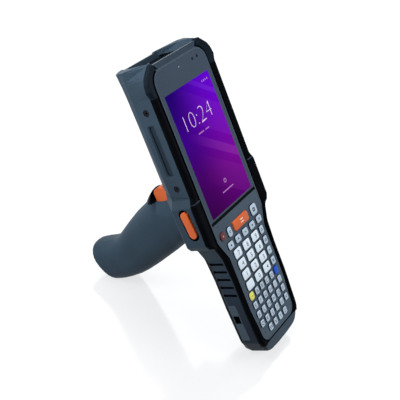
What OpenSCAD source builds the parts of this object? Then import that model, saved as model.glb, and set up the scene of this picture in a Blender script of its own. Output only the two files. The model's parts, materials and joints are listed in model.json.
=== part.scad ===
// Rugged pistol-grip data terminal with a touch display and a 53-key pad.
// It is drawn in the device's own frame: X across, Y along it towards the head, Z out of the
// display, with the origin in the middle of the display's lower edge. standing() then leans it
// back on the heel of its grip and the end of its keypad, which is how it is put down.

/* [Display] */
// Width of the display's active area
display_w = 56.2; // [50:0.1:58]
// Height of the display's active area
display_h = 93.7; // [86:0.1:95]
// Width of the front plate beside the display
plate_w = 65.6; // [64.5:0.1:67]
// Top edge of the front plate above the display's lower edge
plate_top = 112.7; // [111.5:0.1:113.4]
// Width of the light rim around glass and keypad plate
rim = 1.2; // [0.9:0.1:1.6]
// How far the foot of the front plate's bevel stands out
plate_bevel = 1; // [0.6:0.1:1.2]
// Thickness of the cover glass and of the keypad plate
glass_t = 1.1; // [0.8:0.1:1.3]
// Thickness of the display module under the glass
module_t = 3.5; // [2.5:0.1:4.2]
// Diameter of the front camera's window
front_lens_d = 2.4; // [1.6:0.1:3]

/* [Keypad] */
// Width of the front plate beside the number keys
keypad_w = 52.8; // [52:0.1:55]
// Width of the front plate beside the last letter keys
keypad_end_w = 49; // [48.4:0.1:50.4]
// Lower edge of the front plate below the display's lower edge
plate_end = 108.2; // [107.6:0.1:109]
// Height of the key tops above the plate
key_rise = 1.0; // [0.6:0.1:1.6]
// Travel of a key
key_travel = 0.6; // [0.4:0.05:0.7]
// Gap around a key in its hole
key_gap = 0.25; // [0.15:0.05:0.35]
// Pitch of the number rows
number_pitch_y = 8.95; // [8.7:0.05:9]
// Width of a number key
number_key_w = 9.6; // [8:0.1:10.4]
// Height of a number key
number_key_h = 7.2; // [6:0.1:7.4]
// Pitch of the letter columns
letter_pitch_x = 7.75; // [7.4:0.05:7.8]
// Pitch of the letter rows
letter_pitch_y = 7.94; // [7.7:0.02:8]
// Width of a letter key
letter_key_w = 4.8; // [4:0.1:5.2]
// Height of a letter key
letter_key_h = 5.6; // [4.6:0.1:5.9]

/* [Housing] */
// Width of the head beside the display
head_w = 80.8; // [79:0.2:84]
// Width of the head across its corner bumpers
corner_w = 84.4; // [83.6:0.2:86]
// Width across the side buttons
hip_w = 87; // [85:0.2:91]
// Width of the keypad part under its neck
neck_w = 64; // [63.4:0.2:66]
// Width of the keypad part at its lower end
end_w = 57.4; // [56.4:0.2:58.4]
// Top of the head above the display's lower edge
head_top = 119; // [118:0.5:121]
// End of the keypad part below the display's lower edge
body_end = 118; // [117:0.5:119]
// Seam between the head cover and the body housing
seam_y = 24; // [23.5:0.5:28]
// Depth of the head behind the glass
head_depth = 35.5; // [34:0.5:38]
// Depth of the keypad part behind the glass
body_depth = 24.2; // [23.8:0.1:26]
// Depth below the glass at which the side walls begin
front_step = 2.2; // [2:0.1:2.6]
// Height of the bumper's crest above the glass
bumper_crest = 1.4; // [0.8:0.1:2]
// Wall thickness
wall = 2.4; // [2:0.1:3]
// Gap at seams between housing parts
seam_gap = 0.3; // [0.2:0.05:0.5]
// Depth of the scan window below the top of the head
window_depth = 6; // [5:0.5:8]
// Number of grip ribs on each side of the keypad part
rib_count = 5; // [3:1:5]
// Pitch of the grip ribs
rib_pitch = 6.8; // [5.5:0.1:6.9]

/* [Side buttons] */
// Length of a side button
side_button_l = 21.5; // [18:0.5:23]
// Width of a side button
side_button_w = 6.8; // [6:0.1:7.4]
// Travel of a side button
side_button_travel = 0.8; // [0.5:0.1:1]
// How far a side button stands out of the wall
side_button_proud = 0.7; // [0.3:0.1:1.2]

/* [Pistol grip] */
// Width of the grip
grip_w = 34; // [32:0.5:37]
// Width of the grip's base
base_w = 35; // [33:0.5:38]
// Wall of the grip at the trigger
grip_pocket_w = 16.6; // [16.4:0.1:18]

/* [Trigger] */
// Width of the trigger
trigger_w = 15.6; // [13:0.1:15.8]
// Angle the trigger swings when it is pulled
trigger_pull = 9; // [6:0.5:10]
// Diameter of the trigger's pin
pin_d = 3; // [2.5:0.1:3.4]
// Radial clearance of the trigger on its pin
pin_fit = 0.05; // [0.03:0.01:0.08]

/* [Battery] */
// Length of the battery pack
battery_l = 56; // [50:1:58]
// Width of the battery pack
battery_w = 37; // [34:0.5:38]
// Travel of the battery latch
latch_travel = 2.5; // [2:0.1:3]

/* [Hidden] */
$fn = 48;

// --- Helpers --------------------------------------------------------------------------------

function unit(v) = v / norm(v);
function lerp(a, b, t) = a + (b - a) * t;

// Points of the arc of radius r that rounds corner q between p and s, in n steps
function corner(p, q, s, r, n) =
    let (
        u = unit(p - q),
        v = unit(s - q),
        half = acos(u * v) / 2,
        c = q + unit(u + v) * r / sin(half),
        from = q + u * r / tan(half) - c,
        to = q + v * r / tan(half) - c,
        a = atan2(from.y, from.x),
        turn = atan2(from.x * to.y - from.y * to.x, from * to)
    )
    [for (k = [0:n]) c + r * [cos(a + turn * k / n), sin(a + turn * k / n)]];

// Path through [x, y, radius] points with its inner corners rounded in n steps each
function rounded_path(p, n) =
    let (xy = [for (q = p) [q[0], q[1]]], last = len(p) - 1)
    [
        xy[0],
        for (i = [1:last - 1]) each
            (p[i][2] > 0 ? corner(xy[i - 1], xy[i], xy[i + 1], p[i][2], n) : [xy[i]]),
        xy[last]
    ];

// Closed solid through rings of equally many points
module skin(rings) {
    n = len(rings[0]);
    m = len(rings);
    polyhedron(
        points = [for (r = rings) each r],
        faces = [
            [for (i = [0:n - 1]) i],
            [for (i = [n - 1:-1:0]) (m - 1) * n + i],
            for (k = [0:m - 2], i = [0:n - 1]) let (j = (i + 1) % n) each
                [
                    [k * n + i, (k + 1) * n + j, k * n + j],
                    [k * n + i, (k + 1) * n + i, (k + 1) * n + j]
                ]
        ]
    );
}

module rounded_rect(w, h, r) {
    square([w - 2 * r, h], center = true);
    square([w, h - 2 * r], center = true);
    for (x = [-1, 1], y = [-1, 1]) translate([x * (w / 2 - r), y * (h / 2 - r)]) circle(r);
}

module stadium(l, w) {
    square([w, l - w], center = true);
    for (y = [-1, 1]) translate([0, y * (l - w) / 2]) circle(w / 2);
}

// Extrudes a drawing in the Y-Z plane across X, from x0 to x1
module across(x0, x1) {
    translate([x0, 0, 0]) rotate([90, 0, 90]) linear_extrude(x1 - x0) children();
}

// Extrudes a drawing in the X-Z plane along Y, from y0 to y1
module along(y0, y1) {
    translate([0, y1, 0]) rotate([90, 0, 0]) linear_extrude(y1 - y0) children();
}

// Extrudes a drawing in the X-Y plane from z0 up to z1
module layer(z0, z1) {
    translate([0, 0, z0]) linear_extrude(z1 - z0) children();
}

// --- Outlines -------------------------------------------------------------------------------

// Right half of the housing's outline as seen from the front, from the end to the top
end_flat = 9;          // half-width of the flat at the very end
hip_y0 = -15.5;        // lower edge of the hip that carries the side buttons
hip_y1 = 17.5;         // its upper edge
corner_y0 = 100.5;     // lower edge of the corner bulge
chin_inset = 1.6;      // bevel along the front edge of the chin
top_flat = 27;         // half-width of the top edge at the front
bumper_end = 1.1;      // the bumpers end this much under the top of the head
outline_steps = 3;
outline = rounded_path([
    [end_flat, -body_end, 0],
    [end_w / 2 - 5.5, 1.2 - body_end, 8],
    [end_w / 2 + 0.2, 13 - body_end, 7],
    [end_w / 2 + 1.8, -74, 40],
    [neck_w / 2 - 1.5, -50, 30],
    [neck_w / 2, -31, 8],
    [neck_w / 2 + 4.2, -19.8, 4],
    [hip_w / 2 - 2.2, hip_y0 - 2, 1],
    [hip_w / 2, hip_y0 + 1.5, 1.6],
    [hip_w / 2, hip_y1 - 1, 3],
    [head_w / 2, hip_y1 + 4.8, 3],
    [head_w / 2, corner_y0 - 2.6, 2],
    [corner_w / 2, corner_y0 + 1.6, 2],
    [corner_w / 2 - 1.2, corner_y0 + 7, 8],
    [corner_w / 2 - 3.4, head_top - 7.4, 5],
    [top_flat + 4, head_top - bumper_end, 1],
    [top_flat, head_top, 0]
], outline_steps);

// Right half of the front plate's outline
plate_neck_y0 = -33;
plate_neck_y1 = -14;
plate_corner_r = 10.5;
plate_end_r = 8;
plate_outline = rounded_path([
    [0, -plate_end, 0],
    [keypad_end_w / 2 - 0.6, -plate_end, plate_end_r],
    [keypad_end_w / 2, -94, 25],
    [keypad_w / 2, -78, 25],
    [keypad_w / 2, plate_neck_y0, 6],
    [plate_w / 2, plate_neck_y1 - 4, 5],
    [plate_w / 2, plate_top, plate_corner_r],
    [0, plate_top, 0]
], 5);

function outline_x(path, y) = lookup(y, [for (p = path) [p.y, p.x]]);
function full(half) = concat(half, [for (i = [len(half) - 2:-1:1]) [-half[i].x, half[i].y]]);

// Right half of the front plate's outline moved inwards by d, and the closed ring of both halves
function plate_half(d) =
    let (s = plate_outline, n = len(s))
    [
        for (i = [0:n - 1])
            let (
                t = unit(s[min(i + 1, n - 1)] - s[max(i - 1, 0)]),
                inward = i == 0 ? [0, 1] : i == n - 1 ? [0, -1] : [-t.y, t.x]
            )
            s[i] + inward * d
    ];
function plate_ring(d) = full(plate_half(d));

module plate_shape(d) {
    polygon(plate_ring(d));
}

// --- Stack behind the front plate -----------------------------------------------------------

key_flange = 0.5;                           // flange that keeps a key in, and its height
flange_z = [-glass_t - 0.75, -glass_t - 0.1];
mat_top = flange_z[0] - key_travel - 0.4;   // the mat lies clear under pressed keys
mat_t = 0.8;
dome_h = 0.25;
keypad_board_t = 1;
keypad_board_z = mat_top - mat_t - keypad_board_t;
board_t = 1.2;                              // main board: thickness, front face and both ends
board_z = -7.4;
board_end = -88;
board_top = 92;

// --- Housing sections -----------------------------------------------------------------------

battery_y1 = -37;                      // upper edge of the battery pack
battery_y0 = battery_y1 - battery_l;
step_y = -19.5;                        // where the back steps down to the battery
slope_y = -31;                         // where the slope under the step ends
toe_r = 4.5;                           // rounding of the end's back edge
head_wall = 18.3;                      // depth of the side wall's back edge in the head
hip_wall = 19.5;
body_wall = 15.5;
chin_y = -1 - plate_end;               // the chin's front starts just under the front plate
chin_rise = 0.3;
chin_fall = 2;                         // how far the chin slopes back on its way to the end
hip_step = 2.5;                        // how far the back of the hip steps in under the grip
nose_z = -25;

// Depth of the front face, the back face and the side wall's back edge at y
function toe(y) = toe_r - sqrt(max(0, pow(toe_r, 2) - pow(max(0, toe_r - body_end - y), 2)));
function front_z(y) =
    y < chin_y ? chin_rise - chin_fall * (chin_y - y) / (chin_y + body_end) : -front_step;
function back_z(y) =
    y <= slope_y ? toe(y) - body_depth
    : y <= step_y ? lerp(-body_depth, hip_step * 2 - head_depth, (y - slope_y) / (step_y - slope_y))
    : -head_depth + (y < hip_y0 ? hip_step : 0);
function wall_z(y) =
    max(
        back_z(y) * 0.65,
        -lookup(y, [[-31, body_wall], [hip_y0, hip_wall], [hip_y1, hip_wall], [seam_y, head_wall]])
    );
// Half-widths of the wall's back edge, of the first chamfer's back edge and of the back face
function wall_x(y) =
    y < corner_y0 - 3 ? outline_x(outline, y)
    : lookup(y, [[corner_y0 - 3, head_w / 2], [head_top, head_w / 2 - 1.4]]);
function chamfer_x(y) =
    wall_x(y) - lookup(y, [
        [-31, 2], [hip_y0, 7], [hip_y1, 6.6], [seam_y, 4.2], [corner_y0, 4], [head_top, 0.9]
    ]);
function chamfer_t(y) = lookup(y, [[-31, 0.52], [hip_y0, 0.35], [hip_y1, 0.35], [seam_y, 0.38]]);
function back_x(y) =
    min(
        chamfer_x(y) - 1.5,
        lookup(y, [[-31, end_w / 2 - 8], [hip_y0, 27], [hip_y1, 27], [seam_y + 6, 22.3], [head_top, 22]])
    );

// Right half of the section at y, from the front edge round to the back face
function half_section(y) =
    let (
        front_x = outline_x(outline, y),
        bevel = y < chin_y + 0.1 ? chin_inset : 0.3,
        fz = front_z(y),
        wz = wall_z(y),
        bz = back_z(y),
        wx = wall_x(y),
        cx = min(chamfer_x(y), wx - 0.4),
        bx = max(min(back_x(y), cx - 1), 0.5)
    )
    rounded_path([
        [front_x - bevel, fz, 0],
        [front_x, fz - bevel * 1.2, 0],
        [wx, wz, 1.2],
        [cx, lerp(wz, bz, chamfer_t(y)), 1.2],
        [bx, bz, 2.4],
        [0, bz, 0]
    ], 2);

function section(y) =
    let (h = half_section(y), n = len(h))
    [
        for (i = [0:n - 1]) [h[i].x, y, h[i].y],
        for (i = [n - 2:-1:0]) [-h[i].x, y, h[i].y]
    ];

// Stations of the housing between y0 and y1: each point of the outline is one
function stations(y0, y1) =
    [
        y0,
        for (p = outline) if (p.y > y0 + 0.1 && p.y < y1 - 0.1) p.y,
        y1
    ];
function sorted(v) =
    len(v) <= 1 ? v
    : let (q = v[floor(len(v) / 2)])
    concat(sorted([for (a = v) if (a < q) a]), [q], sorted([for (a = v) if (a > q) a]));

module housing_skin(y0, y1) {
    extra = [
        for (a = [0, 30, 60]) toe_r * (1 - cos(90 - a)) - body_end,
        chin_y - 0.01, chin_y + 0.01, step_y, step_y + 0.02, slope_y, hip_y0 - 0.01, hip_y0
    ];
    ys = sorted(concat(stations(y0, y1), [for (e = extra) if (e > y0 && e < y1) e]));
    skin([for (y = ys) section(y)]);
}

// The half of space beyond the slanted seam, on the head's side (s = 1) or the body's (s = -1)
seam_tilt = 10;
module beyond_seam(s, gap) {
    translate([0, seam_y, -10]) rotate([seam_tilt, 0, 0]) translate([0, s * (50 + gap), 0])
        cube([120, 100, 120], center = true);
}

// --- Head -----------------------------------------------------------------------------------

recess_x = 29.5;          // half-width of the scan recess in the top of the head
window_x = 21.5;          // half-width of the scan window at its bottom
recess_front = -3.2;      // its front and back
recess_back = 2.4 - head_depth;
recess_bend = -17.4;
recess_taper = 8.5;       // how much narrower the recess is at its back
ledge_x = plate_w / 2 - 1.6;
ledge_z = -5.2;
cavity_x = head_w / 2 - wall - 0.6;
screw_y = [31, 88.6];     // side screws of the head cover
screw_z = -10;
head_d = 4.4;
camera_at = [-9, 98];

module recess_shape(d) {
    x = recess_x - d;
    y = recess_back + d;
    polygon([
        [-x, recess_front - d], [x, recess_front - d], [x, recess_bend], [x - recess_taper, y],
        [recess_taper - x, y], [-x, recess_bend]
    ]);
}

// Recess over the scan window, with side walls that slope down to it, and the space behind it
module scan_recess() {
    window_y = head_top - window_depth;
    intersection() {
        along(window_y - 7, head_top + 1) recess_shape(0);
        layer(-head_depth, 1) polygon([
            [-window_x, window_y - 8], [window_x, window_y - 8], [window_x, window_y],
            [recess_x, head_top], [recess_x, head_top + 2], [-recess_x, head_top + 2],
            [-recess_x, head_top], [-window_x, window_y]
        ]);
    }
}

// Hollow x wide to each side, open to the front between the ledges that carry the front plate
module cavity_shape(x) {
    polygon([
        [-ledge_x, 1], [ledge_x, 1], [ledge_x, ledge_z], [x, ledge_z], [x, -17],
        [x - 3, -22], [20, wall - head_depth], [-20, wall - head_depth], [3 - x, -22],
        [-x, -17], [-x, ledge_z], [-ledge_x, ledge_z]
    ]);
}

module side_screw_places() {
    for (s = [-1, 1], y = screw_y) translate([s * head_w / 2, y, screw_z]) rotate([0, s * 90, 0]) children();
}

module head_cover() {
    color("#2f4353") standing() {
        head_shell();
        // posts that carry the main board
        for (s = [-1, 1], y = [40, 76]) translate([s * 22, y, -head_depth + 1])
            cylinder(h = board_z - board_t + head_depth - 1, d = 5);
    }
}

module head_shell() {
    window_y = head_top - window_depth;
    difference() {
        housing_skin(seam_y - 4, head_top);
        beyond_seam(-1, -seam_gap / 2);
        along(seam_y - 6, window_y - 6) cavity_shape(cavity_x);
        scan_recess();
        // the wall in front of the recess ends level with the bar
        translate([-bar_x, bar_top, recess_front - 1]) cube([2 * bar_x, 4, 8]);
        // the top edge slopes down behind the nose and is lowest between its shoulders
        across(-50, 50) polygon([
            [head_top, nose_z], [head_top - 1.1, -head_depth - 1], [head_top + 3, -head_depth - 1]
        ]);
        layer(-head_depth - 1, recess_back + 2) polygon([
            [-18, head_top - 1.9], [18, head_top - 1.9], [24, head_top + 1], [-24, head_top + 1]
        ]);
        side_screw_places() {
            translate([0, 0, -1.9]) cylinder(h = 3, d = head_d + 0.6);
            translate([0, 0, -8]) cylinder(h = 7, d = 2.2);
        }
        for (s = [-1, 1]) translate([s * head_w / 2, 60, -10.6]) rotate([0, 90, 0])
            layer(-0.7, 0.7) stadium(38, 3.6);
        translate([camera_at.x, camera_at.y, -head_depth - 1]) cylinder(h = wall + 2, d = 9.4);
        translate([camera_at.x + 12, camera_at.y, -head_depth - 1]) cylinder(h = wall + 2, d = 4.2);
    }
}

module scan_window() {
    window_y = head_top - window_depth;
    x = window_x - seam_gap;
    color("#06080c") standing() intersection() {
        along(window_y - 2, window_y - 0.05) recess_shape(seam_gap);
        translate([-x, 0, -head_depth]) cube([2 * x, head_top, head_depth]);
    }
}

module scan_engine() {
    window_y = head_top - window_depth;
    y0 = window_y - 28;
    top_z = board_z - board_t;
    color("#1d2024") standing() difference() {
        union() {
            translate([-13, y0, top_z - 15]) cube([26, 23, 15]);
            translate([-16, y0 + 6, top_z - 2]) cube([32, 8, 2]);
            translate([6, y0 + 23, top_z - 7.5]) rotate([-90, 0, 0]) cylinder(h = 2, d = 8);
        }
        translate([6, y0 + 15, top_z - 7.5]) rotate([-90, 0, 0]) cylinder(h = 12, d = 6);
        translate([-10.5, y0 + 20, top_z - 11]) cube([10, 4, 7]);
    }
}

module rear_camera() {
    z = wall - head_depth;
    color("#101418") standing() {
        difference() {
            union() {
                translate([camera_at.x, camera_at.y, -head_depth + 0.4]) cylinder(h = wall - 0.4, d = 9);
                translate([camera_at.x - 6, camera_at.y - 5.5, z]) cube([22, 11, 4]);
                translate([camera_at.x + 12, camera_at.y, -head_depth + 0.4])
                    cylinder(h = wall - 0.4, d = 3.8);
            }
            translate([camera_at.x, camera_at.y, -head_depth]) cylinder(h = 1.2, d = 6.4);
        }
    }
}

// --- Body -----------------------------------------------------------------------------------

button_y = 3.6;           // middle of the side buttons
button_z = -9.7;
button_tilt = 5;          // their lower ends lean towards the back
button_recess = 2.8;
hip_cavity_x = min(cavity_x, hip_w / 2 - button_recess - wall);
stem_hole = hip_w / 2 - hip_cavity_x + 1.5;
stem_l = 11;
stem_w = 3.6;
rib_y0 = -35;
rib_z = [-15.4, -3.6];
rib_lean = 3;             // the ribs rise a little towards the back
rib_depth = 1.3;
rib_h = 1.9;
rib_end_d = 2.6;          // round end of a rib
port_y = [-102, -70.5];   // insert on the left wall
port_z = [-16, -8.8];
socket = [7, 5.4];        // socket behind the insert, its length and width
socket_y = 2.8;
port_lean = atan2(outline_x(outline, -72) - outline_x(outline, -100), 28);
latch_y = battery_y0 - 8.2;
bay_z = -10;              // ceiling of the battery bay
board_cavity_z = board_z - board_t;
contact_y = battery_y1 - 7.7;   // spring contacts of the battery and the hole they come through
contact_hole = [12.4, 4];
contact_x = [-4.5:3:4.5];
post_y = [-92, -66, -40];
post_x = 20.6;            // posts that carry the keypad board
ridge_y = 18;             // cross ridge between the two parts of a bumper
ridge_w = 0.8;

// Children placed on the side wall at a side button, drawn facing +Z
module on_side(s) {
    translate([s * hip_w / 2, button_y, button_z]) rotate([s * button_tilt, 0, 0])
        rotate([0, s * 90, 0]) children();
}

module port_place() {
    y = (port_y[0] + port_y[1]) / 2;
    translate([-outline_x(outline, y), y, (port_z[0] + port_z[1]) / 2]) rotate([0, 0, port_lean])
        rotate([0, -90, 0]) children();
}

port_l = port_y[1] - port_y[0];
port_w = port_z[1] - port_z[0];
slit_w = 1.3;
insert_t = 0.7;

module battery_space(gap) {
    translate([-battery_w / 2 - gap, battery_y0 - gap, -body_depth - 14])
        cube([battery_w + 2 * gap, battery_l + 2 * gap, body_depth + 14 + bay_z + (gap > 0 ? 0 : -seam_gap)]);
}

module body_housing() {
    color("#2b3e4d") standing() {
        body_shell();
        for (s = [-1, 1], y = post_y) translate([s * post_x, y, board_cavity_z - 0.5])
            cylinder(h = keypad_board_z - board_cavity_z + 0.5, d = 3.6);
        // cross ridges between the upper and lower part of each bumper
        xo = outline_x(outline, ridge_y);
        xi = bumper_inner(ridge_y);
        for (s = [-1, 1]) translate([s * (xo + xi) / 2, ridge_y, 0])
            layer(-front_step - 0.5, bumper_crest - 0.5) square([xo - xi - 1.4, ridge_w], center = true);
    }
}

module body_shell() {
    difference() {
        housing_skin(-body_end, seam_y + 4);
        beyond_seam(1, -seam_gap / 2);
        // board cavity under the keypad, and the hollow of the hip
        translate([0, 0, board_cavity_z]) linear_extrude(12)
            intersection() {
                plate_shape(rim + support);
                translate([-30, 3 - plate_end]) square([60, plate_end - 12]);
            }
        translate([-contact_hole.x / 2, contact_y - 0.3, bay_z - 1])
            cube([contact_hole.x, contact_hole.y, board_cavity_z - bay_z + 2]);
        along(-13, seam_y + 6) cavity_shape(hip_cavity_x);
        translate([-20, -24, board_cavity_z]) cube([40, 14, 9]);
        battery_space(seam_gap);
        // ribs
        for (s = [-1, 1], k = [0:rib_count - 1]) {
            y = rib_y0 - k * rib_pitch;
            translate([s * outline_x(outline, y), y, rib_z[1]]) rotate([rib_lean, 0, 0]) {
                translate([-rib_depth, -rib_h / 2, rib_z[0] - rib_z[1]])
                    cube([2 * rib_depth, rib_h, rib_z[1] - rib_z[0]]);
                translate([-rib_depth, 0, rib_z[0] - rib_z[1] + rib_end_d / 2 - 0.3]) rotate([0, 90, 0])
                    cylinder(h = 2 * rib_depth, d = rib_end_d);
            }
        }
        // side buttons
        for (s = [-1, 1]) on_side(s) {
            layer(-button_recess, 1) stadium(side_button_l + 3.4, side_button_w + 2.6);
            layer(-stem_hole, 0) rounded_rect(stem_w + 2 * seam_gap, stem_l + 2 * seam_gap, 1);
        }
        // pocket of the insert on the left wall, with the slit behind it and the socket inside it
        port_place() {
            layer(-insert_t - 0.1, 2) translate([-slit_w / 2, 0])
                square([port_w + slit_w + 0.2, port_l + 0.2], center = true);
            translate([0, socket_y, 0]) layer(-4, 0) square([socket.y, socket.x], center = true);
        }
        // battery latch
        translate([-8.4 - seam_gap, latch_y - 3.3 - latch_travel - seam_gap, -body_depth - 1])
            cube([16.8 + 2 * seam_gap, 6.6 + latch_travel + 2 * seam_gap, 4.2]);
        translate([-4 - seam_gap, latch_y, -body_depth + 1.4])
            cube([8 + 2 * seam_gap, battery_y0 - latch_y + 1, 1.8]);
    }
}

module port_insert() {
    color("#5d7080") standing() port_place() difference() {
        layer(-insert_t, 0) square([port_w, port_l], center = true);
        translate([0, socket_y]) layer(-insert_t - 1, 1) square([socket.y, socket.x], center = true);
    }
}

module side_button(s) {
    floor_gap = button_recess - side_button_travel - 0.3;
    color("#e07a35") standing() on_side(s) {
        layer(-floor_gap, side_button_proud - 0.5) stadium(side_button_l, side_button_w);
        layer(side_button_proud - 0.5, side_button_proud) stadium(side_button_l - 1, side_button_w - 1);
        layer(0.6 - stem_hole, -floor_gap) rounded_rect(stem_w, stem_l, 0.8);
    }
}

module side_button_left() side_button(-1);
module side_button_right() side_button(1);

// --- Bumpers --------------------------------------------------------------------------------

bumper_gap = 0.3;
bumper_y0 = chin_y + 0.1;           // just above the step of the chin
bumper_turn = plate_top + 1.1;      // here the inner edge leaves the plate for the end of the top bar
bumper_foot = plate_half(-plate_bevel - bumper_gap);

// Inner edge of the bumper at y: beside the front plate, and outwards along the slanted bar end
function bumper_inner(y) =
    min(
        y < bumper_turn ? outline_x(bumper_foot, y)
        : max(outline_x(bumper_foot, bumper_turn), bar_end(y) + bumper_gap),
        outline_x(outline, y) - 1.2
    );

// Rubber bead along the front edge: its section at height y
function bumper_section(y) =
    let (
        xo = outline_x(outline, y),
        xi = bumper_inner(y),
        w = xo - xi,
        drop = max(0, y - head_top + bumper_end + 2.5) * 0.3
    )
    [
        [xi, -front_step], [xi, -0.8], [xi + 0.4, -0.1], [xo - min(3.4, w * 0.6), bumper_crest - 0.35 - drop],
        [xo - min(2.2, w * 0.45), bumper_crest - drop], [xo - min(1.1, w * 0.25), bumper_crest - 0.25],
        [xo - min(0.35, w * 0.1), 0.45], [xo, -front_step * 0.35], [xo, -front_step]
    ];

module bumper_part(y0, y1) {
    ys = sorted(concat(
        stations(y0, y1),
        [for (p = bumper_foot) if (p.y > y0 + 0.3 && p.y < min(y1, bumper_turn)) p.y + 0.013]
    ));
    skin([for (y = ys) [for (p = bumper_section(y)) [p.x, y, p.y]]]);
}

module bumper(s) {
    gap = ridge_w / 2 + 0.1;
    mirror([s < 0 ? 1 : 0, 0, 0]) {
        bumper_part(bumper_y0, ridge_y - gap);
        bumper_part(ridge_y + gap, head_top - bumper_end);
    }
}

module bumper_left() color("#0b0f14") standing() bumper(-1);
module bumper_right() color("#0b0f14") standing() bumper(1);

// --- Front plate ----------------------------------------------------------------------------

glass_y0 = -3.6;          // lower edge of the cover glass
groove = 1.4;             // dark groove between glass and keypad plate
groove_depth = 0.9;
bar_top = head_top - 2;   // top bar above the front plate, and its half-width
bar_x = top_flat - 0.3;
bar_slant = 3.6;          // how much narrower the bar is where it meets the front plate
function bar_end(y) = lerp(bar_x - bar_slant, bar_x, (y - plate_top) / (bar_top - plate_top));
support = 0.8;            // ledge under glass and keypad plate
lens_at = [[16.1, 106.6], [22.2, 106.6]];
led_at = [-1.5, 106.6];
led_d = 1.6;

// Part of the drawing above (s = 1) or below (s = -1) the height y
module half_plane(s, y) {
    translate([-60, s > 0 ? y : y - 250]) square([120, 250]);
}

// Closed band round the front plate through [distance inwards, height] points
module plate_band(section) {
    rings = [for (p = section) [for (q = plate_ring(p[0])) [q.x, q.y, p[1]]]];
    n = len(rings[0]);
    m = len(rings);
    polyhedron(
        points = [for (r = rings) each r],
        faces = [
            for (k = [0:m - 1], i = [0:n - 1]) let (j = (i + 1) % n, l = (k + 1) % m) each
                [[k * n + i, l * n + j, k * n + j], [k * n + i, l * n + i, l * n + j]]
        ]
    );
}

module front_bezel() {
    inner = rim + support;
    seam = 0.05;   // the ledges' faces lie this much inside the band's
    color("#5f717f") standing() {
        plate_band([
            [-plate_bevel, -front_step], [0, 0], [rim, 0], [rim, -glass_t], [inner, -glass_t],
            [inner, -front_step]
        ]);
        // ledges under the upper end of the glass and on both sides of the groove
        layer(seam - front_step, -glass_t - seam) intersection() {
            plate_shape(rim + 0.2);
            union() {
                half_plane(1, display_h + 7.5);
                translate([-50, glass_y0 - groove - support]) square([100, groove + 2 * support]);
            }
        }
        layer(-glass_t - 2 * seam, -groove_depth) intersection() {
            plate_shape(rim - 0.2);
            translate([-50, glass_y0 - groove + 0.01]) square([100, groove - 0.02]);
        }
        // bar across the top
        bar_y = [plate_top - rim + 0.2, bar_top];
        layer(seam - front_step, -0.3) polygon([
            for (p = [[-1, 1], [-1, 0], [1, 0], [1, 1]]) [p[0] * bar_end(bar_y[p[1]]), bar_y[p[1]]]
        ]);
    }
}

plate_fit = 0.1;          // gap around glass and keypad plate

module display_glass() {
    color("#33414d") standing() difference() {
        layer(-glass_t, 0) intersection() {
            plate_shape(rim + plate_fit);
            half_plane(1, glass_y0 + plate_fit);
        }
        for (p = lens_at) translate([p.x, p.y, -glass_t - 1]) cylinder(h = 3, d = front_lens_d);
        translate([led_at.x, led_at.y, -glass_t - 1]) cylinder(h = 3, d = led_d);
    }
}

module front_lenses() {
    color("#05070a") standing() {
        for (p = lens_at) translate([p.x, p.y, -glass_t]) cylinder(h = glass_t - 0.1, d = front_lens_d - 0.1);
        translate([led_at.x, led_at.y, -glass_t]) cylinder(h = glass_t - 0.1, d = led_d - 0.1);
    }
}

module display_module() {
    color("#1a1033") standing() {
        translate([-display_w / 2 - 1.4, -2, -glass_t - module_t])
            cube([display_w + 2.8, display_h + 5, module_t]);
        translate([-9, -2.8, -glass_t - module_t]) cube([18, 1.2, 1.4]);
    }
}

module keypad_plate() {
    color("#55656f") standing() difference() {
        layer(-glass_t, 0) intersection() {
            plate_shape(rim + plate_fit);
            half_plane(-1, glass_y0 - groove - plate_fit);
        }
        for (k = all_keys) translate([k[0], k[1], -glass_t - 1]) linear_extrude(3) key_shape(k, key_gap);
        translate([-letter_pitch_x * 2.5, letter_y0 - 4 * letter_pitch_y, -glass_t - 1])
            cylinder(h = 3, d = 1);
        for (x = [-27.6, -25.4]) translate([x, glass_y0 - groove - 2.4, -glass_t - 1])
            cylinder(h = 3, d = 0.7);
    }
}

// --- Keys -----------------------------------------------------------------------------------

// A key is [x, y, width, height, corner radius]
top_y = -16.4;
power_keys = [[-25.3, top_y + 0.6, 6.4, 6.4, 3.2]];
function_keys = [[-16.3, top_y - 0.3, 5.2, 7.6, 2], [19.6, top_y - 0.2, 8.2, 8.4, 2]];
scan_keys = [[0.6, top_y, 21.4, 8, 2]];
top_row = [for (k = [0:4]) [-20.6 + 10.56 * k, -25.6, 7, 5.6, 1.4]];
number_y0 = -34.2;
number_x = [-16.2, -3.3, 9.6];
numbers = [
    for (r = [0:3], x = number_x) [x, number_y0 - r * number_pitch_y, number_key_w, number_key_h, 1.6]
];
side_keys = [for (r = [0:3]) [20.1, number_y0 - r * number_pitch_y, 5.2, 6.4, 1.4]];
letter_y0 = -69.3;
function letter(c, r) =
    [(c - 2.5) * letter_pitch_x, letter_y0 - r * letter_pitch_y, letter_key_w, letter_key_h, 1.1];
colour_keys = [
    [-2.5 * letter_pitch_x, letter_y0, 6.2, 6.6, 2.2],
    [2.5 * letter_pitch_x, letter_y0, 5.6, 6.4, 1.6]
];
letter_columns = [[1:4], [0:5], [0:5], [0:5], [1:4]];
letter_rows = [for (r = [0:4]) [for (c = letter_columns[r]) letter(c, r)]];
all_keys = concat(
    power_keys, function_keys, scan_keys, top_row, numbers, side_keys, colour_keys,
    [for (row = letter_rows) each row]
);

module key_shape(k, grow) {
    rounded_rect(k[2] + 2 * grow, k[3] + 2 * grow, k[4] + grow - 0.001);
}

module keys(list) {
    for (k = list) translate([k[0], k[1], 0]) {
        layer(flange_z[0], flange_z[1]) key_shape(k, key_flange);
        layer(flange_z[1], key_rise - 0.35) key_shape(k, 0);
        layer(key_rise - 0.35, key_rise) key_shape(k, -0.35);
    }
}

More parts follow.
